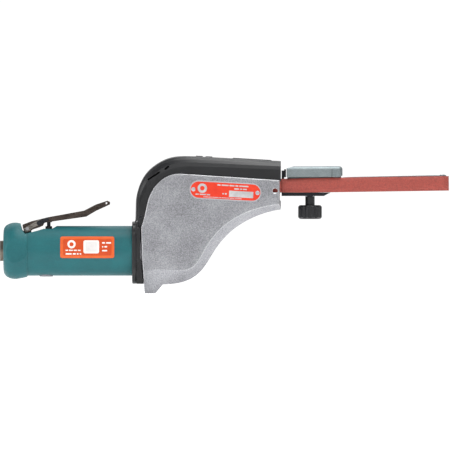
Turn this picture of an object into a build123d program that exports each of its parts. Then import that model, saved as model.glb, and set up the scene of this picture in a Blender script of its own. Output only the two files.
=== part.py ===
from build123d import *
from math import asin, atan2, cos, degrees, hypot, pi, radians, sin, tan
import os

os.makedirs("parts", exist_ok=True)

# ---- main sizes, mm.  x runs forward from the air inlet, z up, y across; the motor axis is z = 0
inlet_head_length = 3.2
handle_front = 115.8
handle_r = 21.8
bulge_r = 24.7
bulge_x = 12.6
motor_bore_r = 17.5
motor_rear = 60.0
collar_thickness = 3.7
collar_top = 25.7
collar_bottom = -28.8
head_front = 245.8
head_half_width = 24.5
wall = 3.0
guard_half_width = 21.1
guard_wall = 2.2
belt_width = 12.7
belt_thickness = 1.0
wheel_r = 13.5
wheel_width = 14.0
tip_wheel_r = 4.5
overall_length = 393.0
drive_x = 134.0
belt_z_at_nose = 57.0
nose_x = 246.6
belt_rise = 0.82
twist_end_x = 300.0
lever_pivot = (23.9, 19.3)
valve_x = 42.7
regulator_x = 40.6
knob_x = 271.4
knob_r = 10.5
yoke_front = 299.8
yoke_top = 74.2
yoke_half_width = 10.0
web_half = 5.2
tilt_pivot = (254.5, belt_z_at_nose)

# ---- clearances, mm
belt_gap = 0.1
run_gap = 0.05
slide_gap = 0.1
part_gap = 0.3

# ---- sizes that follow from the ones above
collar_front = handle_front + collar_thickness
belt_r = wheel_r + belt_gap + belt_thickness / 2
tip_belt_r = tip_wheel_r + belt_gap + belt_thickness / 2
rise = radians(belt_rise)
idler_x = drive_x + belt_r
cavity_half = head_half_width - wall
tip_x = overall_length - tip_belt_r - belt_thickness / 2


def belt_z(x):
    """Height of the belt's centre line at x."""
    return belt_z_at_nose + (x - nose_x) * tan(rise)


idler_z = belt_z(idler_x) - belt_r / cos(rise)
tip_z = belt_z(tip_x)
forward = Vector(cos(rise), 0, sin(rise))
tip_axis = Vector(-sin(rise), 0, cos(rise))


# ---- shapes used many times
def rod_x(x0, x1, r, y=0, z=0, mode=Mode.ADD):
    with BuildSketch(Plane.YZ.offset(x0)) as face:
        with Locations((y, z)):
            Circle(r)
    extrude(face.sketch, amount=x1 - x0, mode=mode)


def rod_y(y0, y1, r, x, z, mode=Mode.ADD):
    with BuildSketch(Plane.XZ.offset(-y1)) as face:
        with Locations((x, z)):
            Circle(r)
    extrude(face.sketch, amount=y1 - y0, mode=mode)


def rod_z(z0, z1, r, x, y=0, mode=Mode.ADD):
    with BuildSketch(Plane.XY.offset(z0)) as face:
        with Locations((x, y)):
            Circle(r)
    extrude(face.sketch, amount=z1 - z0, mode=mode)


def block(x0, x1, y0, y1, z0, z1, mode=Mode.ADD):
    with BuildSketch(Plane.XY.offset(z0)) as face:
        with Locations(((x0 + x1) / 2, (y0 + y1) / 2)):
            Rectangle(x1 - x0, y1 - y0)
    extrude(face.sketch, amount=z1 - z0, mode=mode)


def side_plate(points, y0, y1, mode=Mode.ADD):
    """A straight-edged side outline (x, z) given thickness from y0 to y1."""
    with BuildSketch(Plane.XZ.offset(-y1)) as face:
        with BuildLine():
            Polyline(*points, close=True)
        make_face()
    extrude(face.sketch, amount=y1 - y0, mode=mode)


def tube_x(x0, x1, outer, inner, z=0):
    rod_x(x0, x1, outer, z=z)
    rod_x(x0 - 1, x1 + 1, inner, z=z, mode=Mode.SUBTRACT)


def tube_y(y0, y1, outer, inner, x, z):
    rod_y(y0, y1, outer, x, z)
    rod_y(y0 - 1, y1 + 1, inner, x, z, mode=Mode.SUBTRACT)


def coil(base, direction, radius, wire, length, turns):
    """A round wire spring with its first end at base."""
    with BuildPart() as spring:
        with BuildLine() as path:
            Helix(pitch=length / turns, height=length, radius=radius, center=base, direction=direction)
        with BuildSketch(Plane(origin=path.line @ 0, z_dir=path.line % 0)):
            Circle(wire)
        sweep()
    return spring


def save(builder, name):
    builder.part.label = name
    export_step(builder.part, "parts/" + name + ".step")


# ================================================================ handle and air system
inlet_body_r = 8.0
inlet_bore_r = 5.8
bushing_end = 14.8
screen_thickness = 1.0
inlet_end = bushing_end + screen_thickness + 0.4
passage_r = 5.0
exhaust_inner = 10.4
exhaust_outer = 16.6
exhaust_depth = 18.0
channel_y = 13.5
chamber_r = 5.5
chamber_top = 6.9
chamber_floor = -8.0
bushing_r = 3.0
stem_r = 1.6
bushing_top = 21.6
valve_travel = 3.0
regulator_bore_r = 6.9
regulator_floor = -12.0
rib_half = 4.0
pin_r = 1.5

with BuildPart() as handle_grip:
    with BuildSketch(Plane.XZ):
        with BuildLine():
            Line((inlet_head_length, 0), (inlet_head_length, 17.5))
            Spline((inlet_head_length, 17.5), (5.2, 21.9), (bulge_x, bulge_r), (18, handle_r + 2.3),
                   (24, handle_r + 0.8), (31, handle_r), tangents=[(0.1, 1), (1, 0)])
            Line((31, handle_r), (handle_front, handle_r))
            Line((handle_front, handle_r), (handle_front, 0))
            Line((handle_front, 0), (inlet_head_length, 0))
        make_face()
    revolve(axis=Axis.X)
    # the step the lever sits in, with a rib left standing for its pivot
    side_plate([(18, 30), (18, 23.5), (19.3, 18.5), (22.2, 14.8), (33.5, 17.8), (38.5, 19.3), (45.6, 19.3), (49.4, 21.4),
                (50.4, 30)], -26, 26, Mode.SUBTRACT)
    side_plate([(20.2, 13), (20.9, lever_pivot[1]), (26.7, lever_pivot[1]), (28, 15)], -rib_half, rib_half)
    rod_y(-rib_half, rib_half, 3.0, *lever_pivot)
    rod_y(-rib_half - 1, rib_half + 1, pin_r + run_gap, *lever_pivot, mode=Mode.SUBTRACT)
    # flats on both sides of the flared end
    for side in (-1, 1):
        block(0, 34, side * (handle_r + 4.6) - 4, side * (handle_r + 4.6) + 4, -30, 30, Mode.SUBTRACT)
    # motor bore, inlet, valve and regulator bores
    rod_x(motor_rear, handle_front + 1, motor_bore_r, mode=Mode.SUBTRACT)
    rod_x(0, inlet_end, inlet_body_r, mode=Mode.SUBTRACT)
    rod_x(inlet_end - 1, valve_x, passage_r, mode=Mode.SUBTRACT)
    rod_z(chamber_floor, chamber_top, chamber_r, valve_x, mode=Mode.SUBTRACT)
    rod_z(chamber_top - 1, 24, bushing_r, valve_x, mode=Mode.SUBTRACT)
    rod_z(-26, regulator_floor, regulator_bore_r, regulator_x, mode=Mode.SUBTRACT)
    rod_z(regulator_floor - 1, chamber_floor + 1, 2.4, regulator_x, mode=Mode.SUBTRACT)
    rod_x(regulator_x, motor_rear + 1, 2.4, z=-14.8, mode=Mode.SUBTRACT)
    # ring-shaped exhaust chamber at the back, and the two channels to it
    with BuildSketch(Plane.YZ.offset(inlet_head_length - 1)):
        Circle(exhaust_outer)
        Circle(exhaust_inner, mode=Mode.SUBTRACT)
    extrude(amount=exhaust_depth - inlet_head_length + 1, mode=Mode.SUBTRACT)
    for side in (-1, 1):
        rod_x(exhaust_depth - 1, motor_rear + 1, 2.2, y=side * channel_y, mode=Mode.SUBTRACT)
save(handle_grip, "handle_grip")

label_x = (53.1, 100.3)
label_z = (-6.3, 12.6)
label_thickness = 0.3
with BuildPart() as handle_label:
    tube_x(label_x[0], label_x[1], handle_r + label_thickness, handle_r)
    with BuildSketch(Plane.XZ):
        with Locations((sum(label_x) / 2, sum(label_z) / 2)):
            RectangleRounded(label_x[1] - label_x[0], label_z[1] - label_z[0], 2)
    extrude(amount=30, mode=Mode.INTERSECT)
save(handle_label, "handle_label")

with BuildPart() as air_inlet_bushing:
    with BuildSketch(Plane.YZ):
        RegularPolygon(10.3, 6)
        Circle(9.65, mode=Mode.INTERSECT)
    extrude(amount=inlet_head_length)
    rod_x(inlet_head_length - 0.1, bushing_end, inlet_body_r)
    rod_x(-1, inlet_end + 1, inlet_bore_r, mode=Mode.SUBTRACT)
save(air_inlet_bushing, "air_inlet_bushing")

with BuildPart() as inlet_screen:
    rod_x(bushing_end + 0.1, bushing_end + 0.1 + screen_thickness, inlet_body_r)
    with BuildSketch(Plane.YZ.offset(bushing_end)):
        with GridLocations(2.2, 2.2, 4, 4):
            Circle(0.7)
    extrude(amount=3, mode=Mode.SUBTRACT)
save(inlet_screen, "inlet_screen")

cover_x = (4.4, 7.0)
with BuildPart() as exhaust_cover:
    tube_x(cover_x[0], cover_x[1], exhaust_outer, exhaust_inner)
    with BuildSketch(Plane.YZ.offset(cover_x[0] - 1)):
        with PolarLocations((exhaust_inner + exhaust_outer) / 2, 16):
            SlotOverall(4.2, 1.6)
    extrude(amount=5, mode=Mode.SUBTRACT)
save(exhaust_cover, "exhaust_cover")

with BuildPart() as muffler_felt:
    tube_x(cover_x[1], exhaust_depth - 1, exhaust_outer - 0.1, exhaust_inner + 0.1)
save(muffler_felt, "muffler_felt")

lever_half = 5.7
lever_sheet = 1.4
ear_r = 2.8
lock_pivot = (34.5, 24.3)
lock_pin_r = 0.9
lever_top = [(19.7, 22.9), (28.0, 26.0), (41.9, 29.4), (73.7, 35.2), (84.1, 40.6), (94.2, 43.9)]
lever_low = [(96.3, 42.9), (96.3, 40.6), (84.1, 35.0), (75.4, 29.9), (41.9, 25.1), (38.9, 24.5),
             (37.5, 21.9), (33.6, 20.3), (28.6, 18.6), (25.8, 16.5), (22.0, 16.2), (20.2, 19.6)]
with BuildPart() as throttle_lever:
    side_plate(lever_top + lever_low, -lever_half, lever_half)
    fillet(throttle_lever.edges().filter_by(Axis.Y).group_by(Axis.X)[0], 0.9)
    inside = [(18, 10), (18, 30), (28.2, 30), (28.2, 26.0 - lever_sheet)]
    inside += [(x + 0.2, z - lever_sheet) for x, z in lever_top[2:]]
    inside += [(94.9, 30), (60, 10)]
    inner_half = lever_half - lever_sheet
    side_plate(inside, -inner_half, inner_half, Mode.SUBTRACT)
    rod_y(-9, 9, pin_r, *lever_pivot, mode=Mode.SUBTRACT)
    rod_y(-9, 9, lock_pin_r + run_gap, *lock_pivot, mode=Mode.SUBTRACT)
    rod_y(-9, 9, 0.8, 93.2, 41.7, mode=Mode.SUBTRACT)
save(throttle_lever, "throttle_lever")

with BuildPart() as lever_pin:
    rod_y(-lever_half - 0.5, lever_half + 0.5, pin_r, *lever_pivot)
save(lever_pin, "lever_pin")

tab_x = 41.4
tab_z = 27.4
with BuildPart() as lock_off_tabs:
    rod_y(-lever_half - 1.2, lever_half + 1.2, lock_pin_r, *lock_pivot)
    # a thumb tab on each end of the pin, outside the lever
    for low in (-lever_half - 1.2, lever_half + part_gap):
        rod_y(low, low + 0.9, 2.2, *lock_pivot)
        rod_y(low, low + 0.9, 1.5, tab_x, tab_z)
        side_plate([(lock_pivot[0] - 0.9, lock_pivot[1] + 2.0), (lock_pivot[0] + 1.1, lock_pivot[1] - 1.9),
                    (tab_x + 0.7, tab_z - 1.3), (tab_x - 0.6, tab_z + 1.4)], low, low + 0.9)
save(lock_off_tabs, "lock_off_tabs")

foot_length = 2.75
with BuildPart() as lock_off_lever:
    rod_y(-1.6, inner_half - 0.2, 1.4, *lock_pivot)
    side_plate([(lock_pivot[0] - 1, lock_pivot[1]), (lock_pivot[0] - 1, lock_pivot[1] - foot_length),
                (lock_pivot[0] + 1, lock_pivot[1] - foot_length), (lock_pivot[0] + 1, lock_pivot[1])],
               -1.6, inner_half - 0.2)
    rod_y(-inner_half + 0.2, inner_half - 0.2, 1.0, lock_pivot[0], lock_pivot[1] - foot_length)
    rod_y(-9, 9, lock_pin_r, *lock_pivot, mode=Mode.SUBTRACT)
save(lock_off_lever, "lock_off_lever")

lock_off_spring = coil((lock_pivot[0], -inner_half + 0.5, lock_pivot[1]), (0, 1, 0), 1.25, 0.22, 1.7, 2.5)
save(lock_off_spring, "lock_off_spring")

stem_top = 27.6
with BuildPart() as valve_stem:
    rod_z(chamber_top - 0.5, stem_top, stem_r, valve_x)
    rod_z(bushing_top + valve_travel + 0.4, stem_top, 2.8, valve_x)
    rod_z(chamber_top - 2.6, chamber_top - 0.2, 4.2, valve_x)
    fillet(valve_stem.edges().filter_by(GeomType.CIRCLE).sort_by(Axis.Z)[-1], 0.7)
save(valve_stem, "valve_stem")

with BuildPart() as valve_bushing:
    rod_z(chamber_top, bushing_top, bushing_r, valve_x)
    rod_z(chamber_top - 1, 23, stem_r + run_gap, valve_x, mode=Mode.SUBTRACT)
    chamfer(valve_bushing.edges().filter_by(GeomType.CIRCLE).sort_by(Axis.Z)[-2:], 0.4)
save(valve_bushing, "valve_bushing")

valve_spring_length = chamber_top - 2.6 - chamber_floor - 1.2
valve_spring = coil((valve_x, 0, chamber_floor + 0.55), (0, 0, 1), 3.6, 0.45, valve_spring_length, 6)
save(valve_spring, "valve_spring")

ring_z = -17.5
with BuildPart() as regulator_screw:
    rod_z(-22.6, -15.6, regulator_bore_r - 0.7, regulator_x)
    rod_z(-15.7, regulator_floor - 0.5, 3.4, regulator_x)
    fillet(regulator_screw.edges().filter_by(GeomType.CIRCLE).sort_by(Axis.Z)[0], 0.8)
    block(regulator_x - 8, regulator_x + 8, -0.8, 0.8, -24, -20.9, Mode.SUBTRACT)
    with BuildSketch(Plane.XY.offset(ring_z - 0.65)):
        with Locations((regulator_x, 0)):
            Circle(regulator_bore_r)
            Circle(5.75, mode=Mode.SUBTRACT)
    extrude(amount=1.3, mode=Mode.SUBTRACT)
save(regulator_screw, "regulator_screw")

with BuildPart() as regulator_o_ring:
    with Locations((regulator_x, 0, ring_z)):
        Torus(6.32, 0.5)
save(regulator_o_ring, "regulator_o_ring")

with BuildPart() as regulator_clip:
    rod_z(-20.3, -19.4, regulator_bore_r, regulator_x)
    rod_z(-22, -18, regulator_bore_r - 0.7 + part_gap, regulator_x, mode=Mode.SUBTRACT)
    block(regulator_x + 3, regulator_x + 9, -1.5, 1.5, -22, -18, Mode.SUBTRACT)
save(regulator_clip, "regulator_clip")

# ================================================================ air motor
shaft_r = 4.0
bearing_r = 9.0
rotor_r = 12.2
vane_r = 12.7
cylinder_bore_r = 14.2
cylinder_offset = 1.2
plate_r = motor_bore_r - 0.2
cylinder_x = (motor_rear + 8, 104.0)
front_plate_end = 112.0
vane_count = 5
slot_depth = 6.5

with BuildPart() as motor_rear_plate:
    rod_x(motor_rear, cylinder_x[0], plate_r)
    rod_x(motor_rear + 1, cylinder_x[0] - 1, bearing_r, mode=Mode.SUBTRACT)
    rod_x(motor_rear + 2, cylinder_x[0] + 1, bearing_r - 1.5, mode=Mode.SUBTRACT)
    for side in (-1, 1):
        rod_x(motor_rear - 1, cylinder_x[0] + 1, 2.2, y=side * channel_y, mode=Mode.SUBTRACT)
    rod_x(motor_rear - 1, cylinder_x[0] + 1, 2.2, z=-14.0, mode=Mode.SUBTRACT)
save(motor_rear_plate, "motor_rear_plate")

with BuildPart() as motor_rear_bearing:
    tube_x(motor_rear + 1, cylinder_x[0] - 1, bearing_r, shaft_r + run_gap)
save(motor_rear_bearing, "motor_rear_bearing")

with BuildPart() as motor_cylinder:
    rod_x(cylinder_x[0], cylinder_x[1], plate_r)
    rod_x(cylinder_x[0] - 1, cylinder_x[1] + 1, cylinder_bore_r, z=-cylinder_offset, mode=Mode.SUBTRACT)
save(motor_cylinder, "motor_cylinder")

with BuildPart() as motor_rotor:
    rod_x(motor_rear + 1.5, drive_x - 3.0, shaft_r)
    rod_x(cylinder_x[0] + part_gap, cylinder_x[1] - part_gap, rotor_r)
    with BuildSketch(Plane.YZ.offset(cylinder_x[0] - 1)):
        with PolarLocations(rotor_r - slot_depth / 2 + 0.5, vane_count):
            Rectangle(slot_depth + 1, 1.6)
    extrude(amount=cylinder_x[1] - cylinder_x[0] + 2, mode=Mode.SUBTRACT)
save(motor_rotor, "motor_rotor")

with BuildPart() as motor_vanes:
    with BuildSketch(Plane.YZ.offset(cylinder_x[0] + part_gap)):
        with PolarLocations(vane_r - slot_depth / 2, vane_count):
            Rectangle(slot_depth, 1.5)
    extrude(amount=cylinder_x[1] - cylinder_x[0] - 2 * part_gap)
save(motor_vanes, "motor_vanes")

with BuildPart() as motor_front_plate:
    rod_x(cylinder_x[1], front_plate_end, plate_r)
    rod_x(cylinder_x[1] + 1, front_plate_end - 1, bearing_r, mode=Mode.SUBTRACT)
    rod_x(cylinder_x[1] - 1, front_plate_end + 1, bearing_r - 1.5, mode=Mode.SUBTRACT)
save(motor_front_plate, "motor_front_plate")

with BuildPart() as motor_front_bearing:
    tube_x(cylinder_x[1] + 1, front_plate_end - 1, bearing_r, shaft_r + run_gap)
save(motor_front_bearing, "motor_front_bearing")

# ================================================================ head housing
spigot_r = motor_bore_r - 0.1
shaft_hole_r = 7.0
chamfer_depth = 7.0
rear_edge = [(123.2, 20.7), (123.2, 6.6), (124.2, -9.5), (125.6, -28.6), (126.7, -37.2)]
foot_edge = [(126.7, -37.2), (136.2, -37.2), (142.7, -29.4)]
belly = [(142.7, -29.4), (153.2, -28.6), (163.4, -26.1), (173.4, -20.1), (187.5, -0.5), (198.6, 13.6),
         (220.7, 28.7), (head_front, 36.2)]
belly_in = [(140.5, -16.5), (149.0, -16.9), (157.3, -17.1), (167.4, -15.1), (178.4, -0.5), (193.5, 19.6),
            (213.6, 32.7), (head_front - 1.5, 40.4)]
back_arc = [(158.3, 67.9), (138.3, 59.8), (130.2, 46.8), (126.7, 32.7), (123.2, 20.7)]
hinge = (123.2, 29.5)
hinge_pin_r = 1.3


def head_outline(plane, bottom, rear_foot, foot_corner, front, drop):
    """The housing's side outline on one plane; drop pulls the top and rear edges inwards."""
    with BuildSketch(plane) as face:
        with BuildLine():
            Spline(*bottom)
            Line(bottom[-1], (front, 62.3 - drop))
            Line((front, 62.3 - drop), (158.3, 67.9 - drop))
            Spline((158.3, 67.9 - drop), (138.3 + drop * 0.6, 59.8 - drop * 0.8), (130.2 + drop, 46.8),
                   (126.7 + drop, 32.7), (123.2 + drop, 20.7))
            Line((123.2 + drop, 20.7), (124.2 + drop, -9.5))
            Line((124.2 + drop, -9.5), rear_foot)
            Line(rear_foot, foot_corner)
            Line(foot_corner, bottom[0])
        make_face()
    return face.sketch


with BuildPart() as head_housing:
    side_y = head_half_width - chamfer_depth
    middle = head_outline(Plane.XZ.offset(side_y), belly, (126.7, -37.2), (136.2, -37.2), head_front, 0)
    extrude(middle, amount=-2 * side_y)
    for side in (-1, 1):
        outer = head_outline(Plane.XZ.offset(side * side_y), belly, (126.7, -37.2), (136.2, -37.2),
                             head_front, 0)
        inner = head_outline(Plane.XZ.offset(side * head_half_width), belly_in, (125.6, -16.4),
                             (133.0, -16.4), head_front - 1.5, 0.8)
        loft([outer, inner], ruled=True)
    # spigot that carries the handle, and the boss between it and the rear wall
    rod_x(front_plate_end, collar_front + 1, spigot_r)
    rod_x(collar_front, 125.0, 20.0)
    # wide hollow for the idlers and the turning runs, open at the top, back and front
    side_plate([(125.5, -2), (166, -2), (172, 10), (184, 24), (198, 38), (215, 44), (255, 44), (255, 95),
                (110, 95), (110, 20.5), (125.5, 20.5)], -cavity_half, cavity_half, Mode.SUBTRACT)
    # lugs for the guard's hinge pin
    for side in (-1, 1):
        centre = side * 9.5
        side_plate([(119.8, 17), (119.8, 27.4), (121.3, hinge[1]), (125.1, hinge[1]), (125.1, 17)],
                   centre - 1.5, centre + 1.5)
        rod_y(centre - 1.5, centre + 1.5, 1.9, *hinge)
    # narrower hollow round the drive wheel
    side_plate([(125.5, -18), (158, -18), (165, -12), (168, 0), (125.5, 0)], -16.2, 16.2, Mode.SUBTRACT)
    rod_x(front_plate_end - 1, 127, shaft_hole_r, mode=Mode.SUBTRACT)
    rod_y(-15, 15, hinge_pin_r, *hinge, mode=Mode.SUBTRACT)
    rod_y(-30, 30, 2.3, 240.8, 52.4, mode=Mode.SUBTRACT)
    # seat for the idler axle: blind on the near side, through on the far side
    rod_y(-cavity_half - 1.5, 30, 3.0, idler_x, idler_z, mode=Mode.SUBTRACT)
    rod_y(cavity_half - 1, head_half_width + 2, 1.6, 236.5, 58.5, mode=Mode.SUBTRACT)
    for x, z in ((169.4, 53.8), (225.4, 50.6)):
        rod_y(-head_half_width - 2, -cavity_half - 0.5, 1.1, x, z, mode=Mode.SUBTRACT)
save(head_housing, "head_housing")

with BuildPart() as collar:
    with BuildSketch(Plane.YZ.offset(handle_front)):
        with Locations((0, (collar_top + collar_bottom) / 2)):
            RectangleRounded(2 * 23.0, collar_top - collar_bottom, 14)
        Circle(spigot_r + 0.1, mode=Mode.SUBTRACT)
    extrude(amount=collar_thickness)
    outer = collar.edges().filter_by(GeomType.CIRCLE, reverse=True) + collar.edges().filter_by(GeomType.CIRCLE)
    outer = [edge for edge in outer if edge.length != 2 * pi * (spigot_r + 0.1) and edge.length < 60]
    chamfer([edge for edge in outer if abs(edge.center().X - handle_front) < 0.01], 0.6)
    chamfer([edge for edge in collar.edges().group_by(Axis.X)[-1] if edge.length < 60], 0.6)
    # raised back of the flange, filling up to the housing
    with BuildSketch(Plane.YZ.offset(collar_front - 0.7)):
        with Locations((0, 5.5)):
            Rectangle(44, 29.4)
        Circle(20.1, mode=Mode.SUBTRACT)
        with Locations((0, 20)):
            Rectangle(25, 20, mode=Mode.SUBTRACT)
    extrude(amount=4.3)
    for side in (-1, 1):
        block(collar_front - 0.7, 121.6, side * 17 - 4.5, side * 17 + 4.5, 19, 24.3)
        # ribs that close the gap behind the guard's foot
        block(118.2, collar_front, side * 9.5 - 1.5, side * 9.5 + 1.5, 24, 26.5)
save(collar, "collar")

with BuildPart() as rear_skirt:
    with BuildSketch(Plane.XZ.offset(-19)):
        with BuildLine():
            Polyline((119.6, -20.5), (119.6, -28.8), (125.5, -28.8), (124.9, -20.5), close=True)
        make_face()
    extrude(amount=38)
    with BuildSketch(Plane.XZ.offset(20.3)):
        with BuildLine():
            Polyline((119.6, -9.2), (119.6, -28.8), (125.4, -28.8), (124.0, -9.2), close=True)
        make_face()
    extrude(amount=1.7)
    with BuildSketch(Plane.XZ.offset(-22)):
        with BuildLine():
            Polyline((119.6, -9.2), (119.6, -28.8), (125.4, -28.8), (124.0, -9.2), close=True)
        make_face()
    extrude(amount=1.7)
    block(119.6, 125.2, -22, 22, -28.8, -26.8)
save(rear_skirt, "rear_skirt")

plate_centre = (197.4, 52.2)
plate_tilt = -3.2
plate_size = (62.9, 16.1)
plate_y = head_half_width
with BuildPart() as name_plate:
    with BuildSketch(Plane.XZ.offset(plate_y)):
        with Locations(Location((plate_centre[0], plate_centre[1], 0), (0, 0, plate_tilt))):
            SlotOverall(*plate_size)
    extrude(amount=0.5)
    with BuildSketch(Plane.XZ.offset(plate_y + 0.5)):
        with Locations(Location((plate_centre[0], plate_centre[1], 0), (0, 0, plate_tilt))):
            SlotOverall(*plate_size)
            SlotOverall(plate_size[0] - 2.2, plate_size[1] - 2.2, mode=Mode.SUBTRACT)
    extrude(amount=0.4)
    for x, z in ((169.4, 53.8), (225.4, 50.6)):
        rod_y(-30, -20, 1.1, x, z, mode=Mode.SUBTRACT)
save(name_plate, "name_plate")

with BuildPart() as name_plate_rivets:
    for x, z in ((169.4, 53.8), (225.4, 50.6)):
        rod_y(-plate_y - 0.6, -cavity_half - 0.5, 1.1, x, z)
        rod_y(-plate_y - 1.3, -plate_y - 0.5, 1.9, x, z)
    heads = name_plate_rivets.edges().filter_by(GeomType.CIRCLE).group_by(Axis.Y)[0]
    fillet(heads, 0.55)
save(name_plate_rivets, "name_plate_rivets")

# ================================================================ drive wheel and idlers
hub_r = 9.0
drive_x0 = drive_x - wheel_width / 2
with BuildPart() as drive_wheel_hub:
    rod_x(drive_x0, drive_x0 + wheel_width, hub_r)
    rod_x(drive_x0 - 0.8, drive_x0 + 0.5, 6.0)
    rod_x(drive_x0 + wheel_width - 3, drive_x0 + wheel_width + 1, 6.4, mode=Mode.SUBTRACT)
    rod_x(drive_x0 - 2, drive_x - 3.0, shaft_r, mode=Mode.SUBTRACT)
    rod_x(drive_x - 4, drive_x + 8, 2.5, mode=Mode.SUBTRACT)
save(drive_wheel_hub, "drive_wheel_hub")

with BuildPart() as drive_wheel_tyre:
    tube_x(drive_x0 + 0.2, drive_x0 + wheel_width - 0.2, wheel_r, hub_r)
    chamfer(drive_wheel_tyre.edges().filter_by(GeomType.CIRCLE).sort_by(SortBy.RADIUS)[-2:], 0.4)
save(drive_wheel_tyre, "drive_wheel_tyre")

with BuildPart() as drive_wheel_screw:
    rod_x(drive_x - 3.0, drive_x0 + wheel_width - 2.9, 2.5)
    rod_x(drive_x0 + wheel_width - 3, drive_x0 + wheel_width - 2, 6.0)
    rod_x(drive_x0 + wheel_width - 2.1, drive_x0 + wheel_width + 1.4, 4.2)
    with BuildSketch(Plane.YZ.offset(drive_x0 + wheel_width - 0.6)):
        RegularPolygon(2.3, 6)
    extrude(amount=3, mode=Mode.SUBTRACT)
save(drive_wheel_screw, "drive_wheel_screw")

idler_bore_r = 8.0
axle_r = 3.0
idler_half = 6.7
bearing_half = 3.5
with BuildPart() as idler_axle:
    rod_y(-cavity_half - 1.5, head_half_width, axle_r, idler_x, idler_z)
    rod_y(head_half_width, head_half_width + 2.2, 5.5, idler_x, idler_z)
    fillet(idler_axle.edges().filter_by(GeomType.CIRCLE).group_by(Axis.Y)[-1], 0.8)
    with BuildSketch(Plane.XZ.offset(-head_half_width - 0.9)):
        with Locations((idler_x, idler_z)):
            RegularPolygon(2.6, 6)
    extrude(amount=-3, mode=Mode.SUBTRACT)
save(idler_axle, "idler_axle")


def idler(centre_y):
    with BuildPart() as wheel:
        rod_y(centre_y - idler_half, centre_y + idler_half, wheel_r, idler_x, idler_z)
        for side in (-1, 1):
            face = centre_y + side * idler_half
            with BuildSketch(Plane.XZ.offset(-face)):
                with Locations((idler_x, idler_z)):
                    Circle(wheel_r - 1.6)
                    Circle(idler_bore_r + 1.4, mode=Mode.SUBTRACT)
            extrude(amount=side * 2.4, mode=Mode.SUBTRACT)
        rod_y(centre_y - 9, centre_y + 9, idler_bore_r, idler_x, idler_z, mode=Mode.SUBTRACT)
        rims = wheel.edges().filter_by(GeomType.CIRCLE).sort_by(SortBy.RADIUS)[-2:]
        chamfer(rims, 0.5)
    return wheel


def idler_bearing(centre_y):
    with BuildPart() as ring:
        tube_y(centre_y - bearing_half, centre_y + bearing_half, idler_bore_r, axle_r + run_gap, idler_x, idler_z)
    return ring


save(idler(-belt_r), "idler_near")
save(idler(belt_r), "idler_far")
save(idler_bearing(-belt_r), "idler_near_bearing")
save(idler_bearing(belt_r), "idler_far_bearing")

spacer_half = belt_r - bearing_half - 0.2
with BuildPart() as idler_spacer:
    tube_y(-spacer_half, spacer_half, 4.8, axle_r, idler_x, idler_z)
save(idler_spacer, "idler_spacer")

# ================================================================ belt guard
guard_top = [(head_front, 78.5), (178.6, 82.3), (163.5, 82.9), (149.5, 81.6), (138.3, 76.6), (126.2, 65.0),
             (119.9, 49.0), (118.6, 26.3)]
guard_shoulder = [(head_front, 70.7), (178.6, 73.2), (162.0, 73.4), (148.0, 70.6), (136.8, 64.0),
                  (129.6, 56.0), (123.8, 43.5), (121.9, 26.3)]
guard_low = [(head_front, 60.5), (158.3, 66.1), (140.2, 58.8), (132.0, 45.9), (128.4, 32.7), (126.2, 22.8)]
guard_flat = 12.5
guard_steps = 4


def guard_outline(plane, share):
    """The guard's side outline; share 1 is the top line, 0 the shoulder."""
    top = []
    for (xa, za), (xb, zb) in zip(guard_shoulder, guard_top):
        top.append((xa + (xb - xa) * share, za + (zb - za) * share))
    tail = (121.9, 23.5)
    with BuildSketch(plane) as face:
        with BuildLine():
            Line(top[0], top[1])
            Spline(*top[1:], tangents=[(top[1][0] - top[0][0], top[1][1] - top[0][1]), (-0.05, -1)])
            Line(top[-1], (tail[0], top[-1][1]))
            Line((tail[0], top[-1][1]), tail)
            Line(tail, guard_low[-1])
            Spline(*reversed(guard_low[1:]))
            Line(guard_low[1], guard_low[0])
            Line(guard_low[0], top[0])
        make_face()
    return face.sketch


def guard_cut(drop_top, drop_low, half):
    """Hollow of the guard, drop_top inside its top line."""
    points = [(head_front + 5, 78.2 - drop_top), (178.6, 82.2 - drop_top), (163.5, 82.8 - drop_top),
              (150.5, 81.2 - drop_top), (139.5 + drop_top * 0.3, 75.4 - drop_top * 0.7),
              (127.8 + drop_top * 0.7, 64.0 - drop_top * 0.5), (120.0 + drop_top * 0.75, 46),
              (118.8 + drop_top * 0.75, 20), (170, 20), (head_front + 5, 20)]
    side_plate(points, -half, half, Mode.SUBTRACT)


with BuildPart() as belt_guard:
    extrude(guard_outline(Plane.XZ.offset(guard_flat), 1), amount=-2 * guard_flat)
    depth = guard_half_width - guard_flat
    for side in (-1, 1):
        for step in range(guard_steps):
            a0 = pi / 2 * step / guard_steps
            a1 = pi / 2 * (step + 1) / guard_steps
            first = guard_outline(Plane.XZ.offset(side * (guard_flat + depth * sin(a0))), max(cos(a0), 0.02))
            last = guard_outline(Plane.XZ.offset(side * (guard_flat + depth * sin(a1))), max(cos(a1), 0.02))
            loft([first, last], ruled=True)
    guard_cut(2.3, 0, guard_flat + 0.5)
    guard_cut(8.2, 0, guard_half_width - guard_wall)
    rod_y(-30, 30, hinge_pin_r + run_gap, *hinge, mode=Mode.SUBTRACT)
    # notches in the rear foot that let the hinge lugs through as the guard swings open
    for side in (-1, 1):
        block(118, 126, side * 9.5 - 2.2, side * 9.5 + 2.2, 20, hinge[1] + 1.5, Mode.SUBTRACT)
    # two vent slits each side, on the rounded shoulder
    for x, z, length, tilt in ((133.0, 70.2, 13.0, 33), (144.6, 77.3, 5.0, 38)):
        for side in (-1, 1):
            with BuildSketch(Plane.XZ):
                with Locations(Location((x + 1.6 * side, z - 2.4 * side - 2.4, 0), (0, 0, tilt))):
                    SlotOverall(length, 1.5)
            extrude(amount=30 * side, mode=Mode.SUBTRACT)
save(belt_guard, "belt_guard")

with BuildPart() as guard_hinge_pin:
    rod_y(-guard_half_width + 0.2, guard_half_width - 0.2, hinge_pin_r, *hinge)
save(guard_hinge_pin, "guard_hinge_pin")

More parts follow.
